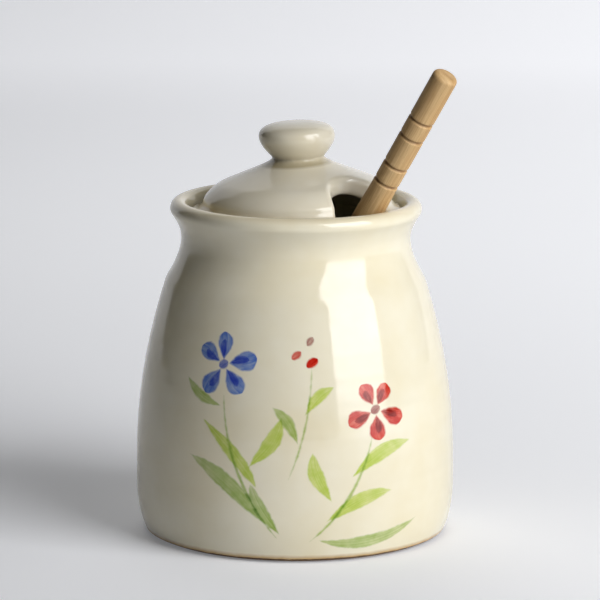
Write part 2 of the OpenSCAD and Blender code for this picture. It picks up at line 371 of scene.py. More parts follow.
# 46 mm is the wall's middle radius where it is painted
round_mm = add(tree, "ShaderNodeMath", {0: azimuth, 1: 46}, operation="MULTIPLY")
up_mm = add(tree, "ShaderNodeMath", {0: spot.outputs["Z"], 1: 1000}, operation="MULTIPLY")
wall_place = add(tree, "ShaderNodeCombineXYZ", {"X": round_mm, "Y": up_mm})
shake = add(tree, "ShaderNodeTexNoise", {"Vector": wall_place, "Scale": 0.45, "Detail": 2})
shake = add(tree, "ShaderNodeMapRange", {"Value": shake.outputs["Fac"], "From Min": 0.25, "From Max": 0.75,
                                         "To Min": -0.42, "To Max": -0.02})

leaf_green, spring_green = colour("#94BC24"), colour("#BEDC3C")
sky_blue, deep_blue = colour("#6C8FF0"), colour("#2450DC")
poppy_red, dark_red = colour("#D02A1E"), colour("#8E1014")
# [start, end, half width, sideways bend, belly, taper, pigment, load, fade], in millimetres
stems = [((-5, 8), (-22, 53), 0.75, -3.5, 1, 0.25, leaf_green, 0.9, -0.3),
         ((4, 7), (23, 40), 0.75, 3.0, 1, 0.25, leaf_green, 0.9, -0.3),
         ((-2, 27), (5, 63), 0.6, 1.6, 1, 0.25, leaf_green, 0.85, -0.25)]
leaves = [((-8, 12), (-33, 33), 2.9, 2.5, 1.15, 0.95, leaf_green, 0.85, -0.15),
          ((-11, 24), (-29, 45), 2.3, 1.5, 0.85, 0.9, spring_green, 0.9, -0.1),
          ((-14, 30), (-4, 47), 2.6, 1.8, 1.25, 0.85, spring_green, 0.95, -0.2),
          ((-4, 9), (-13, 26), 2.2, -1.2, 1.2, 0.8, leaf_green, 0.95, -0.35),
          ((8, 13), (30, 22), 2.6, -2.2, 1.15, 0.9, spring_green, 0.95, -0.25),
          ((11, 19), (5, 36), 2.5, -1.6, 1.3, 0.85, spring_green, 0.9, -0.1),
          ((16, 27), (37, 37), 2.7, -2.4, 1.1, 0.95, spring_green, 0.95, -0.3),
          ((6, 8), (40, 12), 2.3, 3.6, 0.9, 0.95, leaf_green, 0.75, -0.1),
          ((1, 38), (-7, 50), 2.0, 1.3, 1.2, 0.8, leaf_green, 0.85, -0.2),
          ((2.5, 47), (12, 56), 2.1, -1.4, 1.25, 0.85, spring_green, 0.95, -0.25),
          ((-22, 49), (-36, 57), 1.9, -1.6, 1.1, 0.9, leaf_green, 0.75, -0.1)]
berries = [((3.4, 62.2), (7.0, 64.8), 1.75, 0, 1, 0.5, poppy_red, 1, 0),
           ((-1.2, 64.6), (1.8, 67.0), 1.5, 0, 1, 0.5, poppy_red, 0.95, -0.1),
           ((3.6, 68.6), (5.6, 71.4), 1.35, 0, 1, 0.5, dark_red, 0.8, -0.1)]
# [middle, turn in degrees, petal colour, colour of the darker stroke on it, reach, half width]
blossoms = [((-23, 62), 14, sky_blue, deep_blue, 10.5, 3.1), ((24.5, 48), -20, poppy_red, dark_red, 9.5, 2.9)]

paint, hairs = None, None


def stroke(at, start, end, half_width, bend, belly, taper, pigment, load, fade):
    """Adds one brush stroke over the painting so far."""
    global paint, hairs
    run = math.hypot(end[0] - start[0], end[1] - start[1])
    inputs = {"Place": at, "Tremor": shake, "Start": (*start, 0), "Size": (run, 1, 1),
              "Turn": (0, 0, math.atan2(end[1] - start[1], end[0] - start[0])), "Half width": half_width + 0.2,
              "Bend": bend, "Belly": belly, "Taper": taper, "Pigment": pigment, "Load": load, "Fade": fade}
    inputs["Paint"] = paint if paint else (1, 1, 1, 1)
    inputs["Hairs"] = hairs if hairs else (0, 0, 0)
    node = add(tree, "ShaderNodeGroup", inputs, node_tree=brush)
    paint, hairs = node.outputs["Paint"], node.outputs["Hairs"]


for mark in leaves + stems:
    stroke(wall_place, *mark)
for middle, turn, pale, dark, reach, half_width in blossoms:
    fold = add(tree, "ShaderNodeGroup", {"Place": wall_place, "Middle": (*middle, 0),
                                         "Turn": (0, 0, math.radians(turn))}, node_tree=petals)
    stroke(fold, (1.0, 0), (reach, 0.3), half_width, 0.4, 1.7, 0.62, pale, 0.9, 0.1)
    stroke(fold, (1.4, 0), (reach * 0.78, 0), half_width * 0.48, -0.4, 1.6, 0.6, dark, 0.9, -0.25)
    stroke(wall_place, (middle[0] - 1.6, middle[1] - 0.9), (middle[0] + 1.6, middle[1] + 0.9), 1.7, 0, 1, 0.5,
           dark, 0.9, -0.1)
for mark in berries:
    stroke(wall_place, *mark)

# The hairs of the brush leave fine streaks along each stroke, and the wash dries in clouds.
streaks = add(tree, "ShaderNodeMapping", {"Vector": hairs, "Scale": (1.6, 2.6, 3.0)})
streaks = add(tree, "ShaderNodeTexNoise", {"Vector": streaks, "Scale": 1, "Detail": 2})
wash = add(tree, "ShaderNodeTexNoise", {"Vector": wall_place, "Scale": 0.3, "Detail": 2})
wash = add(tree, "ShaderNodeMath", {0: streaks.outputs["Fac"], 1: wash.outputs["Fac"]}, operation="ADD")
wash = add(tree, "ShaderNodeMapRange", {"Value": wash, "From Min": 0.7, "From Max": 1.3, "To Min": 0.55,
                                        "To Max": 1.3})
painted = add(tree, "ShaderNodeGamma", {"Color": paint, "Gamma": wash})
reached = add(tree, "ShaderNodeAttribute", attribute_name="outside").outputs["Fac"]

glaze_cream = colour("#E8E2CC")
glaze = add(tree, "ShaderNodeGroup", {"Colour": glaze_cream}, node_tree=fired)
# glaze runs off the crest of the lip and shows a little of the clay's gold there
crest = add(tree, "ShaderNodeMapRange", {"Value": up_mm, "From Min": 105.6, "From Max": 107.6, "To Max": 0.3})
skin = add(tree, "ShaderNodeMix", {"Factor": crest, "A": glaze.outputs["Colour"], "B": colour("#D8C08A")},
           data_type="RGBA")
skin = add(tree, "ShaderNodeMix", {"Factor": reached, "A": skin, "B": painted},
           data_type="RGBA", blend_type="MULTIPLY")

# Bare stoneware under the foot: toasted buff with turning rings, and painted shade on its rounded edge where
# the glaze stops.
ragged = add(tree, "ShaderNodeTexNoise", {"Vector": place, "Scale": 240, "Detail": 3})
ragged = add(tree, "ShaderNodeMath", {0: ragged.outputs["Fac"], 1: 0.7, 2: up_mm}, operation="MULTIPLY_ADD")
glazed = add(tree, "ShaderNodeMapRange", {"Value": ragged, "From Min": 1.35, "From Max": 1.6})
halo = add(tree, "ShaderNodeMapRange", {"Value": ragged, "From Min": 1.5, "From Max": 3.0})
out = add(tree, "ShaderNodeVectorMath", {0: place, 1: (1, 1, 0)}, operation="MULTIPLY")
out = add(tree, "ShaderNodeVectorMath", {0: out}, operation="LENGTH")
rings = add(tree, "ShaderNodeMath", {0: out.outputs["Value"], 1: 2600}, operation="MULTIPLY")
rings = add(tree, "ShaderNodeMath", {0: rings}, operation="SINE")
grit = add(tree, "ShaderNodeTexNoise", {"Vector": place, "Scale": 900, "Detail": 2})
rings = add(tree, "ShaderNodeMath", {0: rings, 1: 0.25, 2: grit.outputs["Fac"]}, operation="MULTIPLY_ADD")
clay = add(tree, "ShaderNodeMix", {"Factor": rings, "A": colour("#6E543A"), "B": colour("#9A7A54")},
           data_type="RGBA")
# painted shade: the foot's rounded edge just under the glaze is darker
painted_foot_shade = add(tree, "ShaderNodeMapRange", {"Value": up_mm, "From Min": 0.35, "From Max": 0.6})
clay = add(tree, "ShaderNodeMix", {"Factor": painted_foot_shade, "A": clay, "B": colour("#4E3A2C")},
           data_type="RGBA")
skin = add(tree, "ShaderNodeMix", {"Factor": halo, "A": colour("#B9955A"), "B": skin},
           data_type="RGBA")
skin = add(tree, "ShaderNodeMix", {"Factor": glazed, "A": clay, "B": skin},
           data_type="RGBA")
fill(tree, shader, {"Base Color": skin})
dry = add(tree, "ShaderNodeMix", {"Factor": glazed, "A": 0.82, "B": glaze.outputs["Roughness"]},
          data_type="FLOAT")
fill(tree, shader, {"Roughness": dry})
rough_clay = add(tree, "ShaderNodeMix", {"Factor": glazed, "A": rings, "B": 0.5}, data_type="FLOAT")
grain = add(tree, "ShaderNodeBump", {"Height": rough_clay, "Strength": 0.5, "Distance": 0.0002,
                                     "Normal": glaze.outputs["Normal"]})
fill(tree, shader, {"Normal": grain.outputs["Normal"]})
shader.inputs["IOR"].default_value = 1.52
pot.data.materials.append(material)
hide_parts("pot")
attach(pot, "pot_body")


# The lid: a thrown dome of the same stoneware with a brim that rests on the pot's ledge, a
# knob luted on top, and a notch cut out of the edge for the dipper. Its edges are sponged round.
lid_radius = 33.4
brim_thick = 2.6
brim_edge = 0.6
dome_side = np.array([lid_radius - 3.4, 5.8])
dome_turn = dome_side + [-6, 6]
knob_neck = np.array([8.3, 19.2])
knob_wide = np.array([12.2, 26.0])
knob_top = np.array([0, 30.5])
hollow_radius = lid_radius - 7.4
hollow_height = 12.0
notch_radius = 11.0
notch_middle = lid_radius - 14.4 + notch_radius
notch_turn = math.radians(46)
notch_edge_blend = 2.2

lid_outline = np.vstack([
    round_edge((lid_radius - brim_edge, brim_edge), brim_edge, -90, 0, 6),
    round_edge((lid_radius - brim_edge, brim_thick - brim_edge), brim_edge, 0, 90, 6),
    smooth_curve((lid_radius - brim_edge, brim_thick), (-3.4, 0), dome_side, (0, 3.2), 16),
    smooth_curve(dome_side, (0, 5.0), dome_turn, (-7.98, 3.6), 20),
    smooth_curve(dome_turn, ((dome_turn[0] - knob_neck[0]) * -0.9, (dome_turn[0] - knob_neck[0]) * 0.4),
                 knob_neck, (0, 0.65 * (knob_neck[1] - dome_turn[1])), 24),
    smooth_curve(knob_neck, (2.2, 3.6), knob_wide, (0, 9.0), 16),
    smooth_curve(knob_wide, (0, 11.7), knob_top, (-19.5, 0), 24)])
hollow_outline = np.vstack([
    [(0, hollow_height)],
    smooth_curve((0, hollow_height), (1.15 * hollow_radius, 0),
                 (hollow_radius, 0), (0, -1.8 * hollow_height), 24)])
lid_section = np.vstack([lid_outline, hollow_outline])


def section_distance(out, up):
    """Signed distance in millimetres to the lid's turned surface, negative inside the clay."""
    ends = np.roll(lid_section, -1, axis=0)
    least = np.full(len(out), 1e9)
    inside_clay = np.zeros(len(out), bool)
    for (x0, z0), (x1, z1) in zip(lid_section, ends):
        if x0 > 0 or x1 > 0:
            dx, dz = x1 - x0, z1 - z0
            share = np.clip(((out - x0) * dx + (up - z0) * dz) / (dx * dx + dz * dz), 0, 1)
            least = np.minimum(least, (out - x0 - share * dx) ** 2 + (up - z0 - share * dz) ** 2)
        crosses = (z0 > up) != (z1 > up)
        if z1 != z0:
            inside_clay ^= crosses & (out < x0 + (up - z0) / (z1 - z0) * (x1 - x0))
    return np.where(inside_clay, -1, 1) * np.sqrt(least)


def lid_distance(points):
    """Signed distance to the whole lid over its seat, with the notch's edges rounded."""
    out = np.hypot(points[:, 0], points[:, 1])
    along = points[:, 0] * math.sin(notch_turn) - points[:, 1] * math.cos(notch_turn)
    across = points[:, 0] * math.cos(notch_turn) + points[:, 1] * math.sin(notch_turn)
    past = np.maximum(notch_middle - along, 0)
    notch = notch_radius - np.hypot(past, across)
    clay = section_distance(out, points[:, 2])
    blend = np.maximum(notch_edge_blend - np.abs(clay - notch), 0) / notch_edge_blend
    return np.maximum(clay, notch) + blend ** 2 * notch_edge_blend / 4


def lid_mesh():
    """A fine even mesh over the lid, each point moved onto the exact surface."""
    rough = turned_mesh("rough_lid", np.vstack([[(0, hollow_height)],
                        hollow_outline[2:], lid_outline[1:]]), 128)
    body = bpy.data.objects.new("rough_lid", rough)
    scene.collection.objects.link(body)
    cutter_mesh = bpy.data.meshes.new("notch_room")
    form = bmesh.new()
    direction = Matrix.Rotation(notch_turn - math.pi / 2, 4, "Z")
    past_brim, below, tall = 45, 5, 50
    corners = [(notch_middle + notch_radius * math.cos(a), notch_radius * math.sin(a))
               for a in np.radians(np.linspace(90, 270, 33))]
    corners += [(past_brim, -notch_radius), (past_brim, notch_radius)]
    base = [form.verts.new(direction @ Vector((x * MM, y * MM, -below * MM))) for x, y in corners]
    face = form.faces.new(base)
    lifted = bmesh.ops.extrude_face_region(form, geom=[face])
    bmesh.ops.translate(form, vec=(0, 0, tall * MM),
                        verts=[v for v in lifted["geom"] if isinstance(v, bmesh.types.BMVert)])
    bmesh.ops.recalc_face_normals(form, faces=form.faces)
    form.to_mesh(cutter_mesh)
    form.free()
    cutter = bpy.data.objects.new("notch_room", cutter_mesh)
    scene.collection.objects.link(cutter)
    cut = body.modifiers.new("cut", "BOOLEAN")
    cut.object = cutter
    cut.solver = "EXACT"
    even = body.modifiers.new("even", "REMESH")
    even.mode = "VOXEL"
    even.voxel_size = 0.00045
    mesh = bpy.data.meshes.new_from_object(body.evaluated_get(bpy.context.evaluated_depsgraph_get()))
    bpy.data.objects.remove(body)
    bpy.data.objects.remove(cutter)
    points = np.zeros(len(mesh.vertices) * 3)
    mesh.vertices.foreach_get("co", points)
    points = points.reshape(-1, 3) / MM
    step = 0.01
    for _ in range(4):
        here = lid_distance(points)
        slope = np.stack([(lid_distance(points + step * axis) - here) / step for axis in np.eye(3)], 1)
        size = np.maximum((slope ** 2).sum(1), 0.2)
        points -= np.clip(here / size, -0.4, 0.4)[:, None] * slope
    # The dome was thrown a little uneven and the knob set a little askew.
    above = np.clip((points[:, 2] - 0.5) / 5, 0, 1)
    points[:, 2] += 0.038 * points[:, 0] * above
    points[:, 0] += 0.7 * np.clip(points[:, 2] / 18, 0, 1) - 0.6 * np.clip((points[:, 2] - 19) / 8, 0, 1)
    points[:, 2] += seat_height
    mesh.vertices.foreach_set("co", (points * MM).ravel())
    mesh.polygons.foreach_set("use_smooth", [True] * len(mesh.polygons))
    mesh.update()
    return mesh


lid = add_piece("notched_lid", lid_mesh())
lid.data.materials.clear()
material, tree, shader = new_material("glossy greyish cream glaze on stoneware")
place = add(tree, "ShaderNodeTexCoord").outputs["Object"]
glaze = add(tree, "ShaderNodeGroup", {"Colour": colour("#E3DDCB")}, node_tree=fired)
up_mm = add(tree, "ShaderNodeSeparateXYZ", {"Vector": place}).outputs["Z"]
up_mm = add(tree, "ShaderNodeMath", {0: up_mm, 1: 1000, 2: -seat_height}, operation="MULTIPLY_ADD")
out_mm = add(tree, "ShaderNodeVectorMath", {0: place, 1: (1000, 1000, 0)}, operation="MULTIPLY")
out_mm = add(tree, "ShaderNodeVectorMath", {0: out_mm}, operation="LENGTH").outputs["Value"]
# Glaze runs down from the knob and the dome and lies thick where it stops, and the same darker colours are
# painted shade in the crease under the knob and where the dome meets the brim.
# For each pool: the heights where it starts, is deepest and ends, the radii where it starts and is full, and
# its share.
run = add(tree, "ShaderNodeTexNoise", {"Vector": place, "Scale": 130, "Detail": 3})
up_run = add(tree, "ShaderNodeMath", {0: run.outputs["Fac"], 1: 2.4, 2: up_mm}, operation="MULTIPLY_ADD")
glaze_skin = glaze.outputs["Colour"]
for low, full, done, edge_out, full_out, share, tint in (
        (14.6, 18.4, 22.6, 12, 10.5, 0.62, "#84733F"), (3.2, 4.2, 6.8, 28.5, 30, 0.45, "#A98A50")):
    rise = add(tree, "ShaderNodeMapRange", {"Value": up_run, "From Min": low, "From Max": full},
               interpolation_type="SMOOTHSTEP")
    fall = add(tree, "ShaderNodeMapRange", {
        "Value": up_run, "From Min": full, "From Max": done, "To Min": share, "To Max": 0},
        interpolation_type="SMOOTHSTEP")
    here = add(tree, "ShaderNodeMapRange", {"Value": out_mm, "From Min": edge_out, "From Max": full_out})
    pool_and_shade = add(tree, "ShaderNodeMath", {0: rise, 1: fall}, operation="MULTIPLY")
    pool_and_shade = add(tree, "ShaderNodeMath", {0: pool_and_shade, 1: here}, operation="MULTIPLY")
    glaze_skin = add(tree, "ShaderNodeMix", {"Factor": pool_and_shade, "A": glaze_skin, "B": colour(tint)},
                     data_type="RGBA")
# the brim's underside was wiped clean of glaze, so that the lid didn't stick in the kiln
wiped = add(tree, "ShaderNodeMapRange", {"Value": up_run, "From Min": 1.25, "From Max": 1.75})
rim_only = add(tree, "ShaderNodeMapRange", {"Value": out_mm, "From Min": 27.5, "From Max": 26.5})
wiped = add(tree, "ShaderNodeMath", {0: wiped, 1: rim_only}, operation="MAXIMUM")
grit = add(tree, "ShaderNodeTexNoise", {"Vector": place, "Scale": 900, "Detail": 2})
clay = add(tree, "ShaderNodeMix", {
    "Factor": grit.outputs["Fac"], "A": colour("#7C6142"), "B": colour("#A5855C")}, data_type="RGBA")
skin = add(tree, "ShaderNodeMix", {"Factor": wiped, "A": clay, "B": glaze_skin}, data_type="RGBA")
dry = add(tree, "ShaderNodeMix", {"Factor": wiped, "A": 0.8, "B": glaze.outputs["Roughness"]},
          data_type="FLOAT")
fill(tree, shader, {"Base Color": skin, "Roughness": dry, "Normal": glaze.outputs["Normal"]})
shader.inputs["IOR"].default_value = 1.52
lid.data.materials.append(material)
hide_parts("lid")
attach(lid, "lid_body")


# The dipper: one length of pale close-grained beech, turned on a lathe, with two pairs of
# grooves near the end of the handle and a ribbed head that stands on the pot's floor. A lathe
# only changes the radius along the axis, so the tree sets the radius of a straight spindle.
lathe = bpy.data.node_groups.new("turned dipper", "GeometryNodeTree")
dipper_sizes = {"Length": 172, "Step": 0.24, "Sides": 56, "Ball radius": 8, "Rib count": 6, "Rib pitch": 5,
                "Rib thickness": 3, "Rib bevel": 0.6, "Head radius": 12, "Barrel": 2.5, "Core radius": 5,
                "Neck length": 12, "Neck in": 0.6, "Swell radius": 4.4, "Swell end": 112.4,
                "Handle start": 128.4, "Handle radius": 4.1, "First groove": 17.5, "Groove pair": 6.8,
                "Pair to pair": 11.2, "Groove width": 1.3, "Groove depth": 0.7, "Tip radius": 1.5}
lathe.interface.new_socket("Geometry", in_out="OUTPUT", socket_type="NodeSocketGeometry")
sockets = {name: lathe.interface.new_socket(name, in_out="INPUT", socket_type="NodeSocketFloat")
           for name in dipper_sizes}
material_socket = lathe.interface.new_socket("Wood", in_out="INPUT", socket_type="NodeSocketMaterial")
size = add(lathe, "NodeGroupInput").outputs
spindle_end = add(lathe, "ShaderNodeCombineXYZ", {"Z": size["Length"]})
spindle = add(lathe, "GeometryNodeCurvePrimitiveLine", {"End": spindle_end})
count = add(lathe, "ShaderNodeMath", {0: size["Length"], 1: size["Step"]}, operation="DIVIDE")
spindle = add(lathe, "GeometryNodeResampleCurve", {"Curve": spindle, "Count": count})
along = add(lathe, "GeometryNodeSplineParameter").outputs["Length"]

# the round end
short = add(lathe, "ShaderNodeMath", {0: size["Ball radius"], 1: along}, operation="SUBTRACT")
short = add(lathe, "ShaderNodeMath", {0: short, 1: 0}, operation="MAXIMUM")
short = add(lathe, "ShaderNodeMath", {0: short, 1: short}, operation="MULTIPLY")
ball_square = add(lathe, "ShaderNodeMath", {0: size["Ball radius"], 1: size["Ball radius"]},
                  operation="MULTIPLY")
ball_end = add(lathe, "ShaderNodeMath", {0: ball_square, 1: short}, operation="SUBTRACT")
ball_end = add(lathe, "ShaderNodeMath", {0: ball_end}, operation="SQRT")

# the ribs: how far a point is from the middle of its rib, and how wide that rib is
past = add(lathe, "ShaderNodeMath", {0: along, 1: size["Ball radius"]}, operation="SUBTRACT")
ribs = add(lathe, "ShaderNodeMath", {0: past, 1: size["Rib pitch"]}, operation="DIVIDE")
rib = add(lathe, "ShaderNodeMath", {0: ribs}, operation="FLOOR")
within = add(lathe, "ShaderNodeMath", {0: ribs, 1: rib}, operation="SUBTRACT")
half_rib = add(lathe, "ShaderNodeMath", {0: size["Rib thickness"], 1: 0.5}, operation="MULTIPLY")
rib_middle = add(lathe, "ShaderNodeMath", {0: size["Rib pitch"], 1: half_rib}, operation="SUBTRACT")
aside = add(lathe, "ShaderNodeMath", {0: within, 1: size["Rib pitch"]}, operation="MULTIPLY")
aside = add(lathe, "ShaderNodeMath", {0: aside, 1: rib_middle}, operation="SUBTRACT")
aside = add(lathe, "ShaderNodeMath", {0: aside}, operation="ABSOLUTE")
middle_rib = add(lathe, "ShaderNodeMath", {0: size["Rib count"], 1: 0.5, 2: -0.5}, operation="MULTIPLY_ADD")
barrel = add(lathe, "ShaderNodeMath", {0: rib, 1: middle_rib}, operation="SUBTRACT")
barrel = add(lathe, "ShaderNodeMath", {0: barrel, 1: middle_rib}, operation="DIVIDE")
barrel = add(lathe, "ShaderNodeMath", {0: barrel, 1: barrel}, operation="MULTIPLY")
barrel = add(lathe, "ShaderNodeMath", {0: barrel, 1: size["Barrel"]}, operation="MULTIPLY")
rib_radius = add(lathe, "ShaderNodeMath", {0: size["Head radius"], 1: barrel}, operation="SUBTRACT")
flat = add(lathe, "ShaderNodeMath", {0: half_rib, 1: size["Rib bevel"]}, operation="SUBTRACT")
bevel = add(lathe, "ShaderNodeMath", {0: aside, 1: flat}, operation="SUBTRACT")
bevel = add(lathe, "ShaderNodeMath", {0: bevel, 1: 0}, operation="MAXIMUM")
rib_radius = add(lathe, "ShaderNodeMath", {0: rib_radius, 1: bevel}, operation="SUBTRACT")
between = add(lathe, "ShaderNodeMath", {0: aside, 1: half_rib}, operation="GREATER_THAN")
head = add(lathe, "GeometryNodeSwitch", {"Switch": between, "False": rib_radius, "True": size["Core radius"]},
           input_type="FLOAT")

# the handle: thinner at the neck, a slow swelling, the grooves and the rounded tip
head_end = add(lathe, "ShaderNodeMath", {0: size["Rib count"], 1: size["Rib pitch"], 2: size["Ball radius"]},
               operation="MULTIPLY_ADD")
neck_end = add(lathe, "ShaderNodeMath", {0: head_end, 1: size["Neck length"]}, operation="ADD")
handle = add(lathe, "ShaderNodeMapRange", {"Value": along, "From Min": size["Swell end"],
                                           "From Max": size["Handle start"], "To Min": size["Swell radius"],
                                           "To Max": size["Handle radius"]}, interpolation_type="SMOOTHSTEP")
thinner = add(lathe, "ShaderNodeMapRange", {"Value": along, "From Min": head_end, "From Max": neck_end,
                                            "To Min": size["Neck in"], "To Max": 0})
handle = add(lathe, "ShaderNodeMath", {0: handle, 1: thinner}, operation="SUBTRACT")
from_tip = add(lathe, "ShaderNodeMath", {0: size["Length"], 1: along}, operation="SUBTRACT")
spread = add(lathe, "ShaderNodeMath", {0: size["Groove pair"], 1: size["Pair to pair"]}, operation="ADD")
half_spread = add(lathe, "ShaderNodeMath", {0: spread, 1: 0.5}, operation="MULTIPLY")
half_pair = add(lathe, "ShaderNodeMath", {0: size["Groove pair"], 1: 0.5}, operation="MULTIPLY")
grooves_middle = add(lathe, "ShaderNodeMath", {0: size["First groove"], 1: half_pair}, operation="ADD")
grooves_middle = add(lathe, "ShaderNodeMath", {0: grooves_middle, 1: half_spread}, operation="ADD")
# each fold lays one half of the four grooves over the other, until one groove is left at 0
groove = from_tip
for fold in (grooves_middle, half_spread, half_pair):
    groove = add(lathe, "ShaderNodeMath", {0: groove, 1: fold}, operation="SUBTRACT")
    groove = add(lathe, "ShaderNodeMath", {0: groove}, operation="ABSOLUTE")
groove_bed = add(lathe, "ShaderNodeMath", {0: size["Groove width"], 1: 0.2}, operation="MULTIPLY")
groove_edge = add(lathe, "ShaderNodeMath", {0: size["Groove width"], 1: 0.5}, operation="MULTIPLY")
groove = add(lathe, "ShaderNodeMapRange", {"Value": groove, "From Min": groove_bed, "From Max": groove_edge,
                                           "To Min": size["Groove depth"], "To Max": 0})
handle = add(lathe, "ShaderNodeMath", {0: handle, 1: groove}, operation="SUBTRACT")
round_off = add(lathe, "ShaderNodeMath", {0: size["Tip radius"], 1: from_tip}, operation="SUBTRACT")
round_off = add(lathe, "ShaderNodeMath", {0: round_off, 1: 0}, operation="MAXIMUM")
round_off = add(lathe, "ShaderNodeMath", {0: round_off, 1: round_off}, operation="MULTIPLY")
tip_square = add(lathe, "ShaderNodeMath", {0: size["Tip radius"], 1: size["Tip radius"]}, operation="MULTIPLY")
round_off = add(lathe, "ShaderNodeMath", {0: tip_square, 1: round_off}, operation="SUBTRACT")
round_off = add(lathe, "ShaderNodeMath", {0: round_off}, operation="SQRT")
round_off = add(lathe, "ShaderNodeMath", {0: size["Tip radius"], 1: round_off}, operation="SUBTRACT")
handle = add(lathe, "ShaderNodeMath", {0: handle, 1: round_off}, operation="SUBTRACT")

in_ball = add(lathe, "ShaderNodeMath", {0: along, 1: size["Ball radius"]}, operation="LESS_THAN")
in_head = add(lathe, "ShaderNodeMath", {0: along, 1: head_end}, operation="LESS_THAN")
radius = add(lathe, "GeometryNodeSwitch", {"Switch": in_ball, "False": head, "True": ball_end},
             input_type="FLOAT")
radius = add(lathe, "GeometryNodeSwitch", {"Switch": in_head, "False": handle, "True": radius},
             input_type="FLOAT")
radius = add(lathe, "ShaderNodeMath", {0: radius, 1: 0.05}, operation="MAXIMUM")
circle = add(lathe, "GeometryNodeCurvePrimitiveCircle", {"Resolution": size["Sides"], "Radius": 1})
turned = add(lathe, "GeometryNodeCurveToMesh", {"Curve": spindle, "Profile Curve": circle, "Scale": radius,
                                                   "Fill Caps": True})
turned = add(lathe, "GeometryNodeStoreNamedAttribute", {
    "Geometry": turned, "Name": "on the lathe", "Value": add(lathe, "GeometryNodeInputPosition")},
    data_type="FLOAT_VECTOR", domain="POINT")
turned = add(lathe, "GeometryNodeTransform", {"Geometry": turned, "Scale": (MM, MM, MM)})
turned = add(lathe, "GeometryNodeSetShadeSmooth", {"Geometry": turned})
turned = add(lathe, "GeometryNodeRealizeInstances", {"Geometry": turned})
turned = add(lathe, "GeometryNodeSetMaterial", {"Geometry": turned, "Material": size["Wood"]})
add(lathe, "NodeGroupOutput", {"Geometry": turned})

# Beech: straight fine grain, short dark flecks along it and slow bands of growth. It was sanded
# and left bare, so it is matt with a faint polish from handling.
material, tree, shader = new_material("bare turned beech")
grain_place = add(tree, "ShaderNodeAttribute", attribute_name="on the lathe").outputs["Vector"]
fibre = add(tree, "ShaderNodeMapping", {"Vector": grain_place, "Scale": (3.2, 3.2, 0.07)})
fibre = add(tree, "ShaderNodeTexNoise", {"Vector": fibre, "Scale": 1, "Detail": 4, "Roughness": 0.65,
                                         "Distortion": 0.3})
band = add(tree, "ShaderNodeMapping", {"Vector": grain_place, "Scale": (0.5, 0.16, 0.008)})
band = add(tree, "ShaderNodeTexNoise", {"Vector": band, "Scale": 1, "Detail": 2})
pore = add(tree, "ShaderNodeMapping", {"Vector": grain_place, "Scale": (6.5, 6.5, 0.5)})
pore = add(tree, "ShaderNodeTexNoise", {"Vector": pore, "Scale": 1, "Detail": 1})
pore = add(tree, "ShaderNodeMapRange", {"Value": pore.outputs["Fac"], "From Min": 0.66, "From Max": 0.76})
tone = add(tree, "ShaderNodeMath", {0: fibre.outputs["Fac"], 1: band.outputs["Fac"]}, operation="ADD")
tone = add(tree, "ShaderNodeMapRange", {"Value": tone, "From Min": 0.72, "From Max": 1.28})
wood = add(tree, "ShaderNodeMix", {"Factor": tone, "A": colour("#B48B56"), "B": colour("#DBBC8A")},
           data_type="RGBA")
pore = add(tree, "ShaderNodeMath", {0: pore, 1: 0.4}, operation="MULTIPLY")
wood = add(tree, "ShaderNodeMix", {"Factor": pore, "A": wood, "B": colour("#8A6238")}, data_type="RGBA")
# painted shade darkens the narrow grooves a little
from_axis = add(tree, "ShaderNodeVectorMath", {0: grain_place, 1: (1, 1, 0)}, operation="MULTIPLY")
from_axis = add(tree, "ShaderNodeVectorMath", {0: from_axis}, operation="LENGTH")
height = add(tree, "ShaderNodeSeparateXYZ", {"Vector": grain_place}).outputs["Z"]
painted_groove_shade = add(tree, "ShaderNodeMapRange", {"Value": from_axis.outputs["Value"], "From Min": 3.95,
                                               "From Max": 3.5, "To Max": 0.45})
on_handle = add(tree, "ShaderNodeMapRange", {"Value": height, "From Min": 126, "From Max": 127})
off_tip = add(tree, "ShaderNodeMapRange", {"Value": height, "From Min": 160, "From Max": 159})
painted_groove_shade = add(tree, "ShaderNodeMath", {0: painted_groove_shade, 1: on_handle}, operation="MULTIPLY")
painted_groove_shade = add(tree, "ShaderNodeMath", {0: painted_groove_shade, 1: off_tip}, operation="MULTIPLY")
wood = add(tree, "ShaderNodeMix", {"Factor": painted_groove_shade, "A": wood, "B": colour("#7C5631")}, data_type="RGBA")
relief = add(tree, "ShaderNodeBump", {"Height": fibre.outputs["Fac"], "Strength": 0.35, "Distance": 0.00012})
fill(tree, shader, {"Base Color": wood, "Normal": relief})
shader.inputs["Roughness"].default_value = 0.5
shader.inputs["Specular IOR Level"].default_value = 0.35

dipper_axis = Vector((0.42416, -0.33139, 0.84278)).normalized()
# the round end stands on the pot's floor, across from the notch
dipper_turn = math.radians(52)
dipper_aside = 1.2
dipper_gap = 0.2
head_inset = 15.8
ball_out = head_inset - float(inner_belly[0])
ball_height = floor_height + dipper_gap + dipper_sizes["Ball radius"]
ball = Vector((ball_out * math.sin(dipper_turn) + dipper_aside * math.cos(dipper_turn),
               -ball_out * math.cos(dipper_turn) + dipper_aside * math.sin(dipper_turn), ball_height))
dipper_foot = ball - dipper_sizes["Ball radius"] * dipper_axis
blank = add_piece("dipper_blank", bpy.data.meshes.new("dipper_blank"))
turning = blank.modifiers.new("turning", "NODES")
turning.node_group = lathe
for name, value in dipper_sizes.items():
    turning[sockets[name].identifier] = float(value)
turning[material_socket.identifier] = material
mesh = bpy.data.meshes.new_from_object(blank.evaluated_get(bpy.context.evaluated_depsgraph_get()))
bpy.data.objects.remove(blank)
mesh.name = "turned_dipper"
mesh.transform(Matrix.Translation(dipper_foot * MM) @ dipper_axis.to_track_quat("Z", "Y").to_matrix().to_4x4())
dipper = add_piece("turned_dipper", mesh)
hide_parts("dipper")
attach(dipper, "dipper_body")


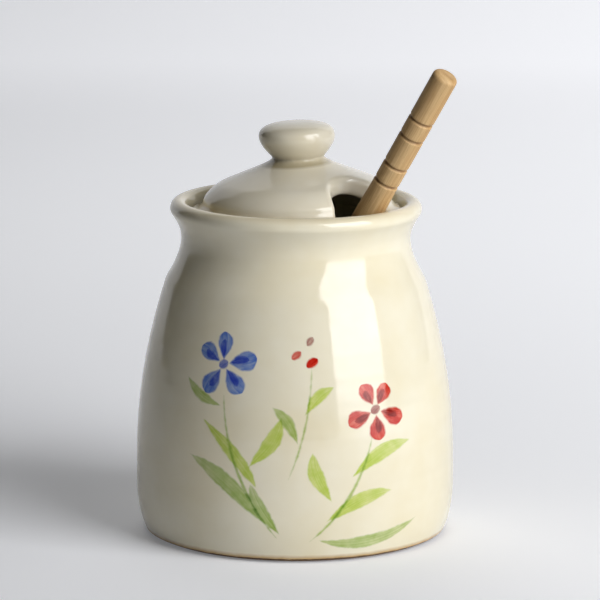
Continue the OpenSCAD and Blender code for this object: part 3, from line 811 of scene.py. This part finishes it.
# The setting: a white paper sweep, one large soft light at the front right, reaching down to
# the table, a weak one behind the pot, and a dim room. Paper lit by the lamps alone would be
# grey, so what the camera and the glaze see of it is lifted by a glow that lights nothing.
material, tree, shader = new_material("white paper")
shader.inputs["Base Color"].default_value = colour("#E6E7E9")
shader.inputs["Roughness"].default_value = 0.9
shader.inputs["Specular IOR Level"].default_value = 0.1
shader.inputs["Emission Color"].default_value = colour("#F7F8FC")
place = add(tree, "ShaderNodeTexCoord").outputs["Object"]
place = add(tree, "ShaderNodeSeparateXYZ", {"Vector": place})
# the glow grows from the pot towards the back of the sweep, and a little from left to right
deep_glow = add(tree, "ShaderNodeMapRange", {"Value": place.outputs["Y"], "From Min": 0.05, "From Max": 1.1,
                                             "To Min": 0.19, "To Max": 0.72})
side_glow = add(tree, "ShaderNodeMapRange", {"Value": place.outputs["X"], "From Min": -0.2, "From Max": 0.2,
                                             "To Min": -0.12, "To Max": 0.10})
glow = add(tree, "ShaderNodeMath", {0: deep_glow, 1: side_glow}, operation="ADD")
path = add(tree, "ShaderNodeLightPath")
seen = add(tree, "ShaderNodeMath", {0: path.outputs["Is Camera Ray"], 1: path.outputs["Is Glossy Ray"]},
           operation="MAXIMUM")
seen = add(tree, "ShaderNodeMath", {0: seen, 1: path.outputs["Is Transmission Ray"]}, operation="MAXIMUM")
glow = add(tree, "ShaderNodeMath", {0: seen, 1: glow}, operation="MULTIPLY")
fill(tree, shader, {"Emission Strength": glow})

form = bmesh.new()
side = 2.2
sweep_start = 1.5
sweep_rise = 0.7
rows = [(-2.2, -0.0002), (sweep_start, -0.0002)] + [
    (sweep_start + sweep_rise * math.sin(a), -0.0002 + sweep_rise * (1 - math.cos(a)))
    for a in np.radians(range(10, 91, 10))] + [(sweep_start + sweep_rise, 2.6)]
verts = [[form.verts.new((x, y, z)) for x in (-side, side)] for y, z in rows]
for low, high in zip(verts, verts[1:]):
    form.faces.new((low[0], low[1], high[1], high[0]))
mesh = bpy.data.meshes.new("paper_sweep")
form.to_mesh(mesh)
form.free()
mesh.polygons.foreach_set("use_smooth", [True] * len(mesh.polygons))
sweep = add_piece("paper_sweep", mesh)
sweep.data.materials.append(material)


def add_lamp(name, azimuth, height, distance, size, watts, tint):
    """A rectangular soft light round the pot, at an azimuth from the front to the right and
    a height angle, both in degrees."""
    a, h = math.radians(azimuth), math.radians(height)
    aim = Vector((0, 0, 0.06))
    place = aim + distance * Vector((math.sin(a) * math.cos(h), -math.cos(a) * math.cos(h), math.sin(h)))
    data = bpy.data.lights.new(name, "AREA")
    data.shape = "RECTANGLE"
    data.size, data.size_y = size
    data.energy = watts
    data.color = colour(tint)[:3]
    lamp = bpy.data.objects.new(name, data)
    lamp.location = place
    lamp.rotation_euler = (aim - place).to_track_quat("-Z", "Y").to_euler()
    lamp.visible_camera = False
    scene.collection.objects.link(lamp)
    return lamp


soft_light = add_lamp("soft_light", 50, 22, 1.3, (0.98, 1.3), 26.2, "#FDFDFF")
# the cloth of the soft light is dimmer towards its lower edge
soft_light.data.use_nodes = True
tree = soft_light.data.node_tree
tree.nodes.clear()
cloth = add(tree, "ShaderNodeNewGeometry").outputs["Parametric"]
cloth = add(tree, "ShaderNodeSeparateXYZ", {"Vector": cloth})
cloth = add(tree, "ShaderNodeMapRange", {"Value": cloth.outputs["Y"], "From Max": 0.45, "To Min": 0.25},
            interpolation_type="SMOOTHSTEP")
cloth = add(tree, "ShaderNodeEmission", {"Strength": cloth})
add(tree, "ShaderNodeOutputLight", {"Surface": cloth})
back_light = add_lamp("back_light", 188, 34, 1.1, (0.9, 0.6), 0.95, "#FFFFFF")
back_light.data.spread = math.radians(90)
back_light.visible_glossy = False

world = bpy.data.worlds.new("studio")
scene.world = world
world.use_nodes = True
tree = world.node_tree
tree.nodes.clear()
room = add(tree, "ShaderNodeBackground", {"Color": colour("#D9DADC"), "Strength": 0.015})
add(tree, "ShaderNodeOutputWorld", {"Surface": room})

scene.view_settings.view_transform = "Standard"
